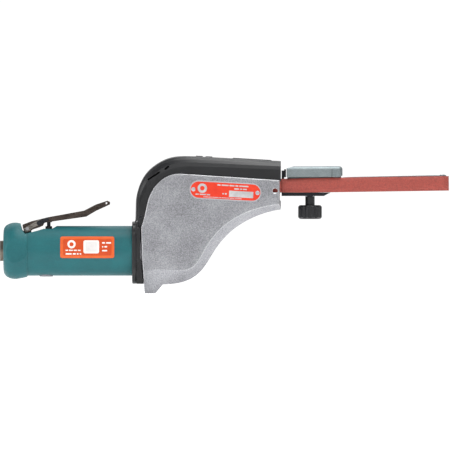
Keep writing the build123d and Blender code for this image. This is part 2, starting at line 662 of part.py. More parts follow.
with BuildPart() as guard_grip_pad:
    with BuildSketch(Plane.XZ.offset(8)):
        with BuildLine():
            Polyline((203.5, 80.95), (204.3, 81.4), (237.2, 79.5), (238.0, 79.04), close=True)
        make_face()
    extrude(amount=-16)
save(guard_grip_pad, "guard_grip_pad")

with BuildPart() as guard_plunger:
    rod_y(cavity_half + 0.1, head_half_width, 1.6, 236.5, 58.5)
    rod_y(head_half_width, head_half_width + 0.9, 2.6, 236.5, 58.5)
    block(233, 240, head_half_width + 0.4, head_half_width + 2, 58.1, 58.9, Mode.SUBTRACT)
save(guard_plunger, "guard_plunger")

# ================================================================ tension bar
# the belt runs pass on both sides of the bar and its guide, so both follow the wheels
guide_half = belt_r - 8.2
bar_half = guide_half - 1.5
bar_z = (51.0, 63.0)
guide_x = (200.0, 236.0)
post_x = (165.0, 168.4)
bar_rear = 196.0
lug_top = 51.0
lug_bottom = 48.0
head_half = 6.3
tongue_half = 2.3
tongue_r = 4.0
screw_r = 2.4
clip_top = 51.6

with BuildPart() as bar_guide:
    block(guide_x[0], guide_x[1], -guide_half, guide_half, bar_z[0] - 1.4, bar_z[1] + 1.4)
    block(195, 240, -bar_half - slide_gap, bar_half + slide_gap, bar_z[0] - slide_gap, bar_z[1] + slide_gap,
          Mode.SUBTRACT)
    block(post_x[0], guide_x[1], -5.0, 5.0, 44.0, bar_z[0] - 1.3)
    block(post_x[0], post_x[1], -bar_half, bar_half, 44.0, 62.0)
save(bar_guide, "bar_guide")

with BuildPart() as tension_bar:
    block(bar_rear, nose_x + 0.5, -bar_half, bar_half, *bar_z)
    block(nose_x, nose_x + 2.2, -head_half, head_half, lug_bottom, 70.3)
    with BuildSketch(Plane.XY.offset(lug_bottom)):
        with Locations(((nose_x + 286) / 2, 0)):
            Rectangle(286 - nose_x, 2 * head_half)
        with Locations((289 - head_half, 0)):
            Circle(head_half)
    extrude(amount=lug_top - lug_bottom)
    side_plate([(283.6, lug_bottom - 1), (283.6, lug_bottom), (288.0, lug_top - 0.6), (291, lug_top - 0.6),
                (291, lug_bottom - 1)], -9, 9, Mode.SUBTRACT)
    side_plate([(nose_x + 2, tilt_pivot[1] - tongue_r), (tilt_pivot[0], tilt_pivot[1] - tongue_r),
                (tilt_pivot[0], tilt_pivot[1] + tongue_r), (nose_x + 2, tilt_pivot[1] + tongue_r)],
               -tongue_half, tongue_half)
    rod_y(-tongue_half, tongue_half, tongue_r, *tilt_pivot)
    rod_y(-9, 9, 1.6 + run_gap, *tilt_pivot, mode=Mode.SUBTRACT)
    rod_z(40, 60, screw_r + run_gap, knob_x, mode=Mode.SUBTRACT)
save(tension_bar, "tension_bar")

spring_length = bar_rear - post_x[1]
tension_spring = coil((post_x[1] + 0.8, 0, belt_z_at_nose), (1, 0, 0), 3.4, 0.65, spring_length - 1.6, 7)
save(tension_spring, "tension_spring")

with BuildPart() as nose_bumper:
    block(nose_x + 2.2, nose_x + 3.8, -head_half - 1.5, head_half + 1.5, 64.4, 71.4)
save(nose_bumper, "nose_bumper")

# ================================================================ tracking yoke and knob
yoke_rear = 251.0
web_low = 52.3
yoke_low = 64.7
nut_r = 3.2
with BuildPart() as tracking_yoke:
    with BuildSketch(Plane.XZ.offset(-yoke_half_width)):
        with BuildLine():
            Line((yoke_rear, yoke_low), (yoke_rear, 72.2))
            Line((yoke_rear, 72.2), (257.3, 74.0))
            Line((257.3, 74.0), (yoke_front - 3.2, yoke_top))
            ThreePointArc((yoke_front - 3.2, yoke_top), (yoke_front - 0.9, yoke_top - 0.9), (yoke_front, yoke_top - 3.2))
            Line((yoke_front, yoke_top - 3.2), (yoke_front, yoke_low + 1.2))
            Line((yoke_front, yoke_low + 1.2), (296.4, yoke_low))
            Line((296.4, yoke_low), (yoke_rear, yoke_low))
        make_face()
    extrude(amount=2 * yoke_half_width)
    uprights = tracking_yoke.edges().filter_by(Axis.Z).group_by(Axis.X)[-1]
    fillet(uprights, 4.0)
    # groove that sets off the rounded end
    for side in (-1, 1):
        rod_z(60, 80, 0.6, 290.6, side * yoke_half_width, mode=Mode.SUBTRACT)
    side_plate([(yoke_rear + 0.6, 66), (yoke_rear + 0.6, web_low), (298.6, web_low), (298.6, 66)],
               -web_half, web_half)
    # fork for the tilt pivot, hollow for the screw and its spring, slot for the arm
    block(yoke_rear - 1, tilt_pivot[0] + tongue_r + 1.5, -tongue_half - 0.3, tongue_half + 0.3, 50, 63.5,
          Mode.SUBTRACT)
    rod_y(-9, 9, 1.6, *tilt_pivot, mode=Mode.SUBTRACT)
    rod_z(50, 63, screw_r + 1.1, knob_x, mode=Mode.SUBTRACT)
    rod_y(-9, 9, nut_r, knob_x, tilt_pivot[1], mode=Mode.SUBTRACT)
    rod_z(50, 60, 3.2, 282, mode=Mode.SUBTRACT)
    block(287.5, 305, -2.4, 2.4, 50, 64.2, Mode.SUBTRACT)
    rod_z(63, 80, 2.0, 293, mode=Mode.SUBTRACT)
    rod_z(yoke_top - 3, 80, 3.9, 293, mode=Mode.SUBTRACT)
save(tracking_yoke, "tracking_yoke")

with BuildPart() as tracking_pivot_pin:
    rod_y(-web_half, web_half, 1.6, *tilt_pivot)
save(tracking_pivot_pin, "tracking_pivot_pin")

with BuildPart() as tracking_nut:
    rod_y(-web_half + 0.2, web_half - 0.2, nut_r, knob_x, tilt_pivot[1])
    rod_z(50, 64, screw_r + 0.1, knob_x, mode=Mode.SUBTRACT)
save(tracking_nut, "tracking_nut")

flute_count = 12
knob_z = (27.8, 40.0)
with BuildPart() as tracking_knob:
    rod_z(knob_z[0], knob_z[1], knob_r, knob_x)
    ends = tracking_knob.edges().filter_by(GeomType.CIRCLE)
    chamfer(ends, 1.5)
    with BuildSketch(Plane.XY.offset(knob_z[0] - 1)):
        with Locations((knob_x, 0)):
            with PolarLocations(knob_r + 0.9, flute_count):
                Circle(1.8)
    extrude(amount=knob_z[1] - knob_z[0] + 2, mode=Mode.SUBTRACT)
    rod_z(knob_z[1] - 1, lug_bottom - 0.2, 4.15, knob_x)
    rod_z(lug_bottom - 1, 61.5, screw_r, knob_x)
save(tracking_knob, "tracking_knob")

with BuildPart() as knob_clip:
    rod_z(lug_top + 0.05, clip_top, 3.6, knob_x)
    rod_z(lug_top - 1, clip_top + 1, screw_r, knob_x, mode=Mode.SUBTRACT)
    block(knob_x, knob_x + 5, -1.6, 1.6, lug_top - 1, clip_top + 1, Mode.SUBTRACT)
save(knob_clip, "knob_clip")

tracking_spring = coil((282, 0, lug_top + 0.4), (0, 0, 1), 2.3, 0.35, 60 - lug_top - 0.8, 4.5)
save(tracking_spring, "tracking_spring")

# ================================================================ contact arm and tip wheel
arm_half = 2.9
arm_root = 288.0
arm_web_end = tip_x - tip_wheel_r - 1.8
tip_half = 5.0
fork_r = 3.4
tip_pin_r = 1.4
tip_plane = Plane(origin=(tip_x, 0, tip_z), x_dir=forward, z_dir=tip_axis)


def tip_rod(radius, low, high, mode=Mode.ADD):
    """A cylinder on the tip wheel's own axis, from low to high along it."""
    with BuildSketch(tip_plane.offset(low)) as face:
        Circle(radius)
    extrude(face.sketch, amount=high - low, mode=mode)


def fork_plate(low, high):
    with BuildSketch(tip_plane.offset(low)) as face:
        Circle(fork_r)
        with Locations((-5.6, 0)):
            Rectangle(11.2, 2 * arm_half)
    extrude(face.sketch, amount=high - low)


with BuildPart() as contact_arm:
    side_plate([(300.2, 53.0), (300.2, 64.3), (304, 64.6), (arm_web_end, 66.2), (arm_web_end, 53.0)],
               -arm_half, arm_half)
    side_plate([(arm_root, 53.2), (arm_root, 64.0), (301, 64.0), (301, 53.2)], -2.3, 2.3)
    fork_plate(tip_half + 0.3, 7.2)
    fork_plate(-tip_half - 1.3, -tip_half - 0.2)
    tip_rod(tip_pin_r, -9, 9, Mode.SUBTRACT)
save(contact_arm, "contact_arm")

with BuildPart() as arm_clamp_screw:
    rod_z(64.05, yoke_top - 2.9, 2.0, 293)
    rod_z(yoke_top - 3, yoke_top - 0.4, 3.7, 293)
    with BuildSketch(Plane.XY.offset(yoke_top - 2.0)):
        with Locations((293, 0)):
            RegularPolygon(1.9, 6)
    extrude(amount=3, mode=Mode.SUBTRACT)
save(arm_clamp_screw, "arm_clamp_screw")


def platen(side):
    with BuildPart() as strip:
        with BuildSketch(Plane.XZ.offset(-side * arm_half)):
            with BuildLine():
                Polyline((310, 54.0), (310, 64.0), (376, 64.9), (376, 54.7), close=True)
            make_face()
        extrude(amount=-side * 1.0)
    return strip


save(platen(-1), "platen_near")
save(platen(1), "platen_far")

with BuildPart() as contact_wheel_hub:
    tip_rod(3.0, -tip_half, tip_half)
    tip_rod(tip_pin_r + run_gap, -9, 9, Mode.SUBTRACT)
save(contact_wheel_hub, "contact_wheel_hub")

with BuildPart() as contact_wheel_tyre:
    tip_rod(tip_wheel_r, -tip_half + 0.1, tip_half - 0.1)
    tip_rod(3.0, -9, 9, Mode.SUBTRACT)
save(contact_wheel_tyre, "contact_wheel_tyre")

with BuildPart() as contact_wheel_pin:
    tip_rod(tip_pin_r, -tip_half - 1.3, 7.4)
    tip_rod(2.2, 7.2, 7.7)
save(contact_wheel_pin, "contact_wheel_pin")

# ================================================================ abrasive belt
twist_steps = 10
up_steps = 8
top_point = Vector(idler_x, 0, idler_z) + tip_axis * belt_r
reach = (Vector(tip_x, 0, tip_z) - top_point).dot(forward)
swing = atan2(belt_r, reach) - asin(tip_belt_r / hypot(reach, belt_r))
lean = asin(sin(swing))


def belt_section(origin, width_direction, along):
    """One cut through the belt, square to its run."""
    with BuildSketch(Plane(origin=origin, x_dir=width_direction, z_dir=along)) as face:
        Rectangle(belt_width, belt_thickness)
    return face.sketch


def eased_turn(share, ease):
    """A quarter turn spread along a run, slower near the wheels at its ends."""
    return pi / 2 * (share - ease * sin(2 * pi * share) / (2 * pi))


def forward_run(side):
    """The run from the idler to the tip wheel on one side: the twist first, then the flat part."""
    along = forward * cos(lean) - Vector(0, side * sin(lean), 0)
    start = top_point + Vector(0, side * belt_r, 0)
    twist_length = (twist_end_x - start.X) / along.X
    outward = forward * sin(lean) + Vector(0, side * cos(lean), 0)
    finish = Vector(tip_x, 0, tip_z) + outward * tip_belt_r
    sections = []
    for step in range(twist_steps + 1):
        turn = eased_turn(step / twist_steps, 0.6)
        across = Vector(0, cos(turn), 0) - tip_axis * (side * sin(turn))
        sections.append(belt_section(start + along * (twist_length * step / twist_steps), across, along))
    loft(sections)
    flat = [belt_section(point, tip_axis, along) for point in (start + along * twist_length, finish)]
    loft(flat, ruled=True)


def rising_run(side):
    """The run from the drive wheel up to the back of its idler, turning a quarter on the way."""
    sections = []
    for step in range(up_steps + 1):
        turn = eased_turn(step / up_steps, 1.0)
        across = Vector(cos(turn), side * sin(turn), 0)
        sections.append(belt_section(Vector(drive_x, side * belt_r, idler_z * step / up_steps), across,
                                     Vector(0, 0, 1)))
    loft(sections)


with BuildPart() as abrasive_belt:
    under = belt_section(Vector(drive_x, -belt_r, 0), Vector(1, 0, 0), Vector(0, 0, 1))
    revolve(under, axis=Axis.X, revolution_arc=180)
    for side in (-1, 1):
        rising_run(side)
        back = belt_section(Vector(drive_x, side * belt_r, idler_z), Vector(0, 1, 0), Vector(0, 0, 1))
        revolve(back, axis=Axis((idler_x, 0, idler_z), (0, 1, 0)), revolution_arc=90 - belt_rise)
        forward_run(side)
    near_out = forward * sin(lean) - Vector(0, cos(lean), 0)
    near_along = forward * cos(lean) + Vector(0, sin(lean), 0)
    tip_cut = belt_section(Vector(tip_x, 0, tip_z) + near_out * tip_belt_r, tip_axis, near_along)
    revolve(tip_cut, axis=Axis((tip_x, 0, tip_z), (tip_axis.X, tip_axis.Y, tip_axis.Z)),
            revolution_arc=180 - 2 * degrees(lean))
save(abrasive_belt, "abrasive_belt")
belt_length = pi * belt_r + 2 * idler_z + pi * belt_r + 2 * reach + pi * tip_belt_r
print("belt loop about", round(belt_length), "mm; solids in belt", len(abrasive_belt.part.solids()))
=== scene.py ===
import bpy
import bmesh
from math import asin, atan2, cos, hypot, pi, radians, sin, tan
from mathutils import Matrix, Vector


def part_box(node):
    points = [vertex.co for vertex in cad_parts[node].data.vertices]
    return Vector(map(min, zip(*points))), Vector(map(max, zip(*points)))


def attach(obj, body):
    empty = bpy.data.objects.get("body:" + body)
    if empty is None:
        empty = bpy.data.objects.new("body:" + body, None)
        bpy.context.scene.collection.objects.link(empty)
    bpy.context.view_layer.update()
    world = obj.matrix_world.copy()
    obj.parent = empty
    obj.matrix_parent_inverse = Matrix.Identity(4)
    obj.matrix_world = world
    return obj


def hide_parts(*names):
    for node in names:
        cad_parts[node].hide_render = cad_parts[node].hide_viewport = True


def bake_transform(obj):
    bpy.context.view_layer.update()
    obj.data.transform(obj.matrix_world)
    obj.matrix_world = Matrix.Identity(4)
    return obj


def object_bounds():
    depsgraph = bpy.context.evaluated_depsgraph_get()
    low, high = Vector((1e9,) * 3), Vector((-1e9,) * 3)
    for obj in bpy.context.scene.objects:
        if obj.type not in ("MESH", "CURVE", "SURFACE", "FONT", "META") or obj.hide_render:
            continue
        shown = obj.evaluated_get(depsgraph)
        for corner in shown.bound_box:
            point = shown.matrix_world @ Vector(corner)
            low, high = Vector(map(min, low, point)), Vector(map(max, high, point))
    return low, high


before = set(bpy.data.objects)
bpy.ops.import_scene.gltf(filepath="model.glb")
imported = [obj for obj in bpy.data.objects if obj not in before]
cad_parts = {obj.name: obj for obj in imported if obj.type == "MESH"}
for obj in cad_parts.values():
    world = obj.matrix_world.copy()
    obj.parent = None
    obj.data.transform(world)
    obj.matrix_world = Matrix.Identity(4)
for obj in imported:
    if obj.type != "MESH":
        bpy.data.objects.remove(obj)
cadBox = [list(corner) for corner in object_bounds()]
print("scene: frame loaded,", len(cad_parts), "nodes")
mm = 0.001


# small helpers for node trees
def linear(hexColour):
    # sRGB hex to the linear colour Blender works in
    values = [int(hexColour[i:i + 2], 16) / 255 for i in (1, 3, 5)]
    return [v / 12.92 if v <= 0.04045 else ((v + 0.055) / 1.055) ** 2.4 for v in values] + [1.0]


def addNode(tree, kind, inputs=None, output=0, stops=None, **settings):
    # adds one node, sets it up, links or sets its inputs, and gives back one of its outputs
    node = tree.nodes.new("ShaderNode" + kind)
    for name, value in settings.items():
        setattr(node, name, value)
    for socket, value in (inputs or {}).items():
        if isinstance(value, bpy.types.NodeSocket):
            tree.links.new(value, node.inputs[socket])
        else:
            node.inputs[socket].default_value = value
    for element, (position, hexColour) in zip(node.color_ramp.elements if stops else (), stops or ()):
        element.position = position
        element.color = linear(hexColour)
    return node.outputs[output] if node.outputs else node


def startMaterial(name, look):
    # a Principled shader with its fixed values, and the part's own coordinates in millimetres
    material = bpy.data.materials.new(name)
    material.use_nodes = True
    tree = material.node_tree
    shader = tree.nodes["Principled BSDF"]
    for socket, value in look.items():
        shader.inputs[socket].default_value = value
    place = addNode(tree, "TexCoord", output="Object")
    inMm = addNode(tree, "VectorMath", {0: place, 1: (1 / mm, 1 / mm, 1 / mm)}, operation="MULTIPLY")
    return material, tree, shader, inMm


def roundedNormal(tree, radius):
    # edges of machined and moulded parts are never sharp; this rounds them in the shading
    return addNode(tree, "Bevel", {"Radius": radius * mm}, samples=4)


def edgeMask(tree, rounded, start=0.02, end=0.25):
    # 1 along the rounded edges, 0 on the flats: on the grip, guard and lever it marks where handling rubs
    # the finish, on the aluminium and the yoke it carries a painted highlight along the edges
    flat = addNode(tree, "NewGeometry", output="Normal")
    along = addNode(tree, "VectorMath", {0: rounded, 1: flat}, operation="DOT_PRODUCT", output="Value")
    away = addNode(tree, "Math", {0: 1.0, 1: along}, operation="SUBTRACT")
    return addNode(tree, "MapRange", {"Value": away, "From Min": start, "From Max": end})


# materials, each named for what the real surface is
gripLook = {"dark": "#0d555b", "light": "#17686d", "worn": "#2b7d81", "fibre": 0.6, "blotch": 26.0}


def glassFilledNylon():
    # injection moulded glass-filled nylon: a satin sheen, faint fibre swirl and paler rubbed edges
    material, tree, shader, place = startMaterial("glassFilledNylon",
                                                  {"IOR": 1.53, "Specular IOR Level": 0.35})
    rounded = roundedNormal(tree, 0.6)
    blotch = addNode(tree, "TexNoise",
                     {"Vector": place, "Scale": 1 / gripLook["blotch"], "Detail": 3.0,
                      "Roughness": 0.5})
    fibre = addNode(tree, "TexNoise",
                    {"Vector": place, "Scale": 1 / gripLook["fibre"], "Detail": 2.0, "Roughness": 0.7})
    body = addNode(tree, "ValToRGB", {"Fac": blotch},
                   stops=((0.3, gripLook["dark"]), (0.7, gripLook["light"])))
    flecks = addNode(tree, "ValToRGB", {"Fac": fibre}, stops=((0.3, "#0c4a50"), (0.72, "#237b7f")))
    mixed = addNode(tree, "Mix", {0: 0.35, 6: body, 7: flecks}, 2, data_type="RGBA")
    edges = edgeMask(tree, rounded)
    tree.links.new(addNode(tree, "Mix", {0: edges, 6: mixed, 7: linear(gripLook["worn"])}, 2,
                           data_type="RGBA"), shader.inputs["Base Color"])
    tree.links.new(addNode(tree, "MapRange", {"Value": blotch, "To Min": 0.38, "To Max": 0.56}),
                   shader.inputs["Roughness"])
    tree.links.new(addNode(tree, "Bump", {"Height": fibre, "Distance": 0.03 * mm, "Normal": rounded}),
                   shader.inputs["Normal"])
    return material


def tumbledAluminium():
    # sand-cast aluminium tumbled with stones: a dense speckle of shallow dents, with a painted highlight
    # on its rims
    material, tree, shader, place = startMaterial("tumbledAluminium", {"Metallic": 1.0})
    rounded = roundedNormal(tree, 1.4)
    dents = addNode(tree, "TexNoise",
                    {"Vector": place, "Scale": 1 / 0.8, "Detail": 5.0, "Roughness": 0.75})
    pits = addNode(tree, "TexVoronoi", {"Vector": place, "Scale": 1 / 1.3})
    cloud = addNode(tree, "TexNoise",
                    {"Vector": place, "Scale": 1 / 22.0, "Detail": 4.0, "Roughness": 0.5})
    speckle = addNode(tree, "ValToRGB", {"Fac": dents}, stops=((0.36, "#626366"), (0.62, "#c2c2c6")))
    wash = addNode(tree, "ValToRGB", {"Fac": cloud}, stops=((0.3, "#7b7c80"), (0.68, "#afb0b4")))
    mixed = addNode(tree, "Mix", {0: 0.42, 6: speckle, 7: wash}, 2, data_type="RGBA")
    edges = edgeMask(tree, rounded)
    # painted highlight: the rims are mixed towards near-white to stand in for the bright rim lines
    tree.links.new(addNode(tree, "Mix", {0: edges, 6: mixed, 7: linear("#f6f6f8")}, 2,
                           data_type="RGBA"), shader.inputs["Base Color"])
    tree.links.new(addNode(tree, "MapRange", {"Value": dents, "To Min": 0.34, "To Max": 0.58}),
                   shader.inputs["Roughness"])
    height = addNode(tree, "Math", {0: dents, 1: pits}, operation="ADD")
    tree.links.new(addNode(tree, "Bump",
                           {"Height": height, "Distance": 0.09 * mm,
                            "Normal": rounded}), shader.inputs["Normal"])
    return material


def mouldedBlackNylon():
    # black nylon from a spark-eroded mould: a fine even grain with a soft grey sheen
    material, tree, shader, place = startMaterial("mouldedBlackNylon", {"IOR": 1.52})
    rounded = roundedNormal(tree, 0.8)
    grain = addNode(tree, "TexNoise",
                    {"Vector": place, "Scale": 1 / 0.45, "Detail": 2.0,
                     "Roughness": 0.6})  # real grain is about 0.15 mm
    cloud = addNode(tree, "TexNoise",
                    {"Vector": place, "Scale": 1 / 22.0, "Detail": 3.0, "Roughness": 0.5})
    body = addNode(tree, "ValToRGB", {"Fac": cloud}, stops=((0.3, "#0a0b0d"), (0.7, "#131417")))
    edges = edgeMask(tree, rounded)
    tree.links.new(addNode(tree, "Mix", {0: edges, 6: body, 7: linear("#26272c")}, 2,
                           data_type="RGBA"), shader.inputs["Base Color"])
    tree.links.new(addNode(tree, "MapRange", {"Value": cloud, "To Min": 0.26, "To Max": 0.38}),
                   shader.inputs["Roughness"])
    tree.links.new(addNode(tree, "Bump", {"Height": grain, "Distance": 0.03 * mm, "Normal": rounded}),
                   shader.inputs["Normal"])
    return material


def beadBlastedSteel():
    # steel block, bead blasted: an even cool grey frosting
    material, tree, shader, place = startMaterial("beadBlastedSteel", {"Metallic": 0.85})
    rounded = roundedNormal(tree, 0.7)
    frost = addNode(tree, "TexNoise",
                    {"Vector": place, "Scale": 1 / 0.6, "Detail": 4.0, "Roughness": 0.7})
    cloud = addNode(tree, "TexNoise",
                    {"Vector": place, "Scale": 1 / 12.0, "Detail": 3.0, "Roughness": 0.5})
    fine = addNode(tree, "ValToRGB", {"Fac": frost}, stops=((0.35, "#6d7678"), (0.65, "#98a1a3")))
    broad = addNode(tree, "ValToRGB", {"Fac": cloud}, stops=((0.35, "#768082"), (0.65, "#909a9c")))
    body = addNode(tree, "Mix", {0: 0.5, 6: fine, 7: broad}, 2, data_type="RGBA")
    edges = edgeMask(tree, rounded)
    # painted highlight: the edges are mixed towards pale grey to stand in for the highlights along them
    tree.links.new(addNode(tree, "Mix", {0: edges, 6: body, 7: linear("#adb4b4")}, 2,
                           data_type="RGBA"), shader.inputs["Base Color"])
    tree.links.new(addNode(tree, "MapRange", {"Value": frost, "To Min": 0.42, "To Max": 0.6}),
                   shader.inputs["Roughness"])
    tree.links.new(addNode(tree, "Bump", {"Height": frost, "Distance": 0.04 * mm, "Normal": rounded}),
                   shader.inputs["Normal"])
    return material


# the painted highlight strip on the lever's side, bright steel colour standing in for the reflection
# there, in millimetres: z = slope * x + height, fading out towards its end
leverGlintStrip = {"slope": 0.62, "height": 4.1, "fadeFrom": 40.0, "end": 43.0}


def stampedSteel():
    # pressed mild steel with a thin oil-browned film, rubbed bright along its edges
    material, tree, shader, place = startMaterial("stampedSteel", {"Metallic": 1.0})
    rounded = roundedNormal(tree, 0.5)
    stretched = addNode(tree, "VectorMath", {0: place, 1: (0.12, 1.0, 1.0)}, operation="MULTIPLY")
    drawn = addNode(tree, "TexNoise",
                    {"Vector": stretched, "Scale": 1 / 0.5, "Detail": 3.0, "Roughness": 0.6})
    cloud = addNode(tree, "TexNoise",
                    {"Vector": place, "Scale": 1 / 8.0, "Detail": 3.0, "Roughness": 0.5})
    fine = addNode(tree, "ValToRGB", {"Fac": drawn}, stops=((0.35, "#2d2724"), (0.65, "#615852")))
    broad = addNode(tree, "ValToRGB", {"Fac": cloud}, stops=((0.35, "#38312e"), (0.65, "#564d48")))
    body = addNode(tree, "Mix", {0: 0.5, 6: fine, 7: broad}, 2, data_type="RGBA")
    edges = edgeMask(tree, rounded)
    # painted highlight: a strip of the side that runs up from the pivot is coloured as bright steel,
    # standing in for the reflection seen along it
    acrossX = addNode(tree, "SeparateXYZ", {"Vector": place}, output="X")
    upZ = addNode(tree, "SeparateXYZ", {"Vector": place}, output="Z")
    slope = addNode(tree, "Math", {0: acrossX, 1: -leverGlintStrip["slope"], 2: upZ}, operation="MULTIPLY_ADD")
    centred = addNode(tree, "Math", {0: slope, 1: leverGlintStrip["height"]}, operation="SUBTRACT")
    away = addNode(tree, "Math", {0: centred}, operation="ABSOLUTE")
    ragged = addNode(tree, "Math", {0: cloud, 1: 1.6, 2: away}, operation="MULTIPLY_ADD")
    strip = addNode(tree, "MapRange", {"Value": ragged, "From Min": 3.4, "From Max": 2.6})
    near = addNode(tree, "MapRange",
                   {"Value": acrossX, "From Min": leverGlintStrip["end"], "From Max": leverGlintStrip["fadeFrom"]})
    glintMask = addNode(tree, "Math", {0: strip, 1: near}, operation="MULTIPLY")
    glintSteelColour = addNode(tree, "ValToRGB", {"Fac": drawn}, stops=((0.35, "#3f3a37"), (0.62, "#aaa49c")))
    film = addNode(tree, "Mix", {0: edges, 6: body, 7: linear("#8d857f")}, 2, data_type="RGBA")
    tree.links.new(addNode(tree, "Mix", {0: glintMask, 6: film, 7: glintSteelColour}, 2, data_type="RGBA"),
                   shader.inputs["Base Color"])
    tree.links.new(addNode(tree, "MapRange", {"Value": cloud, "To Min": 0.22, "To Max": 0.42}),
                   shader.inputs["Roughness"])
    tree.links.new(addNode(tree, "Bump", {"Height": drawn, "Distance": 0.02 * mm, "Normal": rounded}),
                   shader.inputs["Normal"])
    return material


def turnedSteel(name, dark, light, low, high, direction):
    # machined bar: fine tool marks that run round the turning axis
    material, tree, shader, place = startMaterial(name, {"Metallic": 1.0})
    rounded = roundedNormal(tree, 0.3)
    lines = addNode(tree, "VectorMath", {0: place, 1: direction}, operation="MULTIPLY")
    marks = addNode(tree, "TexNoise",
                    {"Vector": lines, "Scale": 1 / 0.25, "Detail": 2.0, "Roughness": 0.5})
    tree.links.new(addNode(tree, "ValToRGB", {"Fac": marks}, stops=((0.3, dark), (0.7, light))),
                   shader.inputs["Base Color"])
    tree.links.new(addNode(tree, "MapRange", {"Value": marks, "To Min": low, "To Max": high}),
                   shader.inputs["Roughness"])
    tree.links.new(addNode(tree, "Bump",
                           {"Height": marks, "Distance": 0.015 * mm,
                            "Normal": rounded}), shader.inputs["Normal"])
    return material


def blackenedSteel():
    # chemically blackened screws: dark with a dull oily shine
    material, tree, shader, place = startMaterial("blackenedSteel", {"Metallic": 0.7})
    rounded = roundedNormal(tree, 0.3)
    mottle = addNode(tree, "TexNoise",
                     {"Vector": place, "Scale": 1 / 0.8, "Detail": 3.0, "Roughness": 0.5})
    tree.links.new(addNode(tree, "ValToRGB", {"Fac": mottle},
                           stops=((0.35, "#1d1e21"), (0.65, "#34353a"))), shader.inputs["Base Color"])
    tree.links.new(addNode(tree, "MapRange", {"Value": mottle, "To Min": 0.35, "To Max": 0.55}),
                   shader.inputs["Roughness"])
    tree.links.new(addNode(tree, "Bump",
                           {"Height": mottle, "Distance": 0.02 * mm,
                            "Normal": rounded}), shader.inputs["Normal"])
    return material


beltLook = {"deep": "#5a1f1b", "grain": "#a8473c", "bright": "#cf7566", "grit": 0.55, "relief": 0.12}


def aluminiumOxideCloth():
    # brown-red aluminium oxide grit in resin on cloth; real grains are about 0.2 mm, drawn coarser to show
    material, tree, shader, place = startMaterial("aluminiumOxideCloth", {"IOR": 1.6})
    grit = addNode(tree, "TexVoronoi", {"Vector": place, "Scale": 1 / beltLook["grit"]})
    clump = addNode(tree, "TexNoise",
                    {"Vector": place, "Scale": 1 / 1.6, "Detail": 4.0, "Roughness": 0.7})
    wear = addNode(tree, "TexNoise",
                   {"Vector": place, "Scale": 1 / 14.0, "Detail": 3.0, "Roughness": 0.5})
    grains = addNode(tree, "ValToRGB", {"Fac": grit},
                     stops=((0.1, beltLook["bright"]), (0.45, beltLook["grain"])))
    shade = addNode(tree, "ValToRGB", {"Fac": clump},
                    stops=((0.3, beltLook["deep"]), (0.6, beltLook["grain"])))
    mixed = addNode(tree, "Mix", {0: 0.55, 6: grains, 7: shade}, 2, data_type="RGBA")
    worn = addNode(tree, "MapRange", {"Value": wear, "To Min": 0.0, "To Max": 0.3})
    tree.links.new(addNode(tree, "Mix", {0: worn, 6: mixed, 7: linear("#a04034")}, 2,
                           data_type="RGBA"), shader.inputs["Base Color"])
    tree.links.new(addNode(tree, "MapRange", {"Value": clump, "To Min": 0.62, "To Max": 0.88}),
                   shader.inputs["Roughness"])
    height = addNode(tree, "Math", {0: grit, 1: clump}, operation="ADD")
    flat = addNode(tree, "NewGeometry", output="Normal")
    tree.links.new(addNode(tree, "Bump",
                           {"Height": height, "Distance": beltLook["relief"] * mm,
                            "Normal": flat}), shader.inputs["Normal"])
    return material


def beltBacking():
    # woven polyester backing, rubbed smooth by the wheels
    material, tree, shader, place = startMaterial("beltBacking", {"IOR": 1.5})
    weave = addNode(tree, "TexWave", {"Vector": place, "Scale": 1.4, "Distortion": 0.4},
                    bands_direction="DIAGONAL", output="Fac")
    tree.links.new(addNode(tree, "ValToRGB", {"Fac": weave},
                           stops=((0.35, "#5d4336"), (0.65, "#7d6250"))), shader.inputs["Base Color"])
    shader.inputs["Roughness"].default_value = 0.8
    flat = addNode(tree, "NewGeometry", output="Normal")
    tree.links.new(addNode(tree, "Bump", {"Height": weave, "Distance": 0.05 * mm, "Normal": flat}),
                   shader.inputs["Normal"])
    return material


def printedFoil(name, dark, light, metallic, low, high):
    # screen-printed foil or film: an even coat with a faint orange-peel
    material, tree, shader, place = startMaterial(name, {"Metallic": metallic, "IOR": 1.5,
                                                         "Specular IOR Level": 0.35})
    rounded = roundedNormal(tree, 0.15)
    peel = addNode(tree, "TexNoise",
                   {"Vector": place, "Scale": 1 / 1.2, "Detail": 3.0, "Roughness": 0.5})
    scuff = addNode(tree, "TexNoise",
                    {"Vector": place, "Scale": 1 / 6.0, "Detail": 5.0, "Roughness": 0.7})
    tree.links.new(addNode(tree, "ValToRGB", {"Fac": scuff}, stops=((0.3, dark), (0.7, light))),
                   shader.inputs["Base Color"])
    tree.links.new(addNode(tree, "MapRange", {"Value": scuff, "To Min": low, "To Max": high}),
                   shader.inputs["Roughness"])
    tree.links.new(addNode(tree, "Bump", {"Height": peel, "Distance": 0.01 * mm, "Normal": rounded}),
                   shader.inputs["Normal"])
    return material


def mouldedRubber():
    # black rubber from a plain mould: dull, with a slightly dusty bloom
    material, tree, shader, place = startMaterial("mouldedRubber", {"IOR": 1.52})
    rounded = roundedNormal(tree, 0.4)
    bloom = addNode(tree, "TexNoise",
                    {"Vector": place, "Scale": 1 / 5.0, "Detail": 4.0, "Roughness": 0.7})
    grain = addNode(tree, "TexNoise",
                    {"Vector": place, "Scale": 1 / 0.5, "Detail": 2.0, "Roughness": 0.5})
    tree.links.new(addNode(tree, "ValToRGB", {"Fac": bloom},
                           stops=((0.35, "#131314"), (0.65, "#26262a"))), shader.inputs["Base Color"])
    tree.links.new(addNode(tree, "MapRange", {"Value": bloom, "To Min": 0.6, "To Max": 0.8}),
                   shader.inputs["Roughness"])
    tree.links.new(addNode(tree, "Bump", {"Height": grain, "Distance": 0.03 * mm, "Normal": rounded}),
                   shader.inputs["Normal"])
    return material


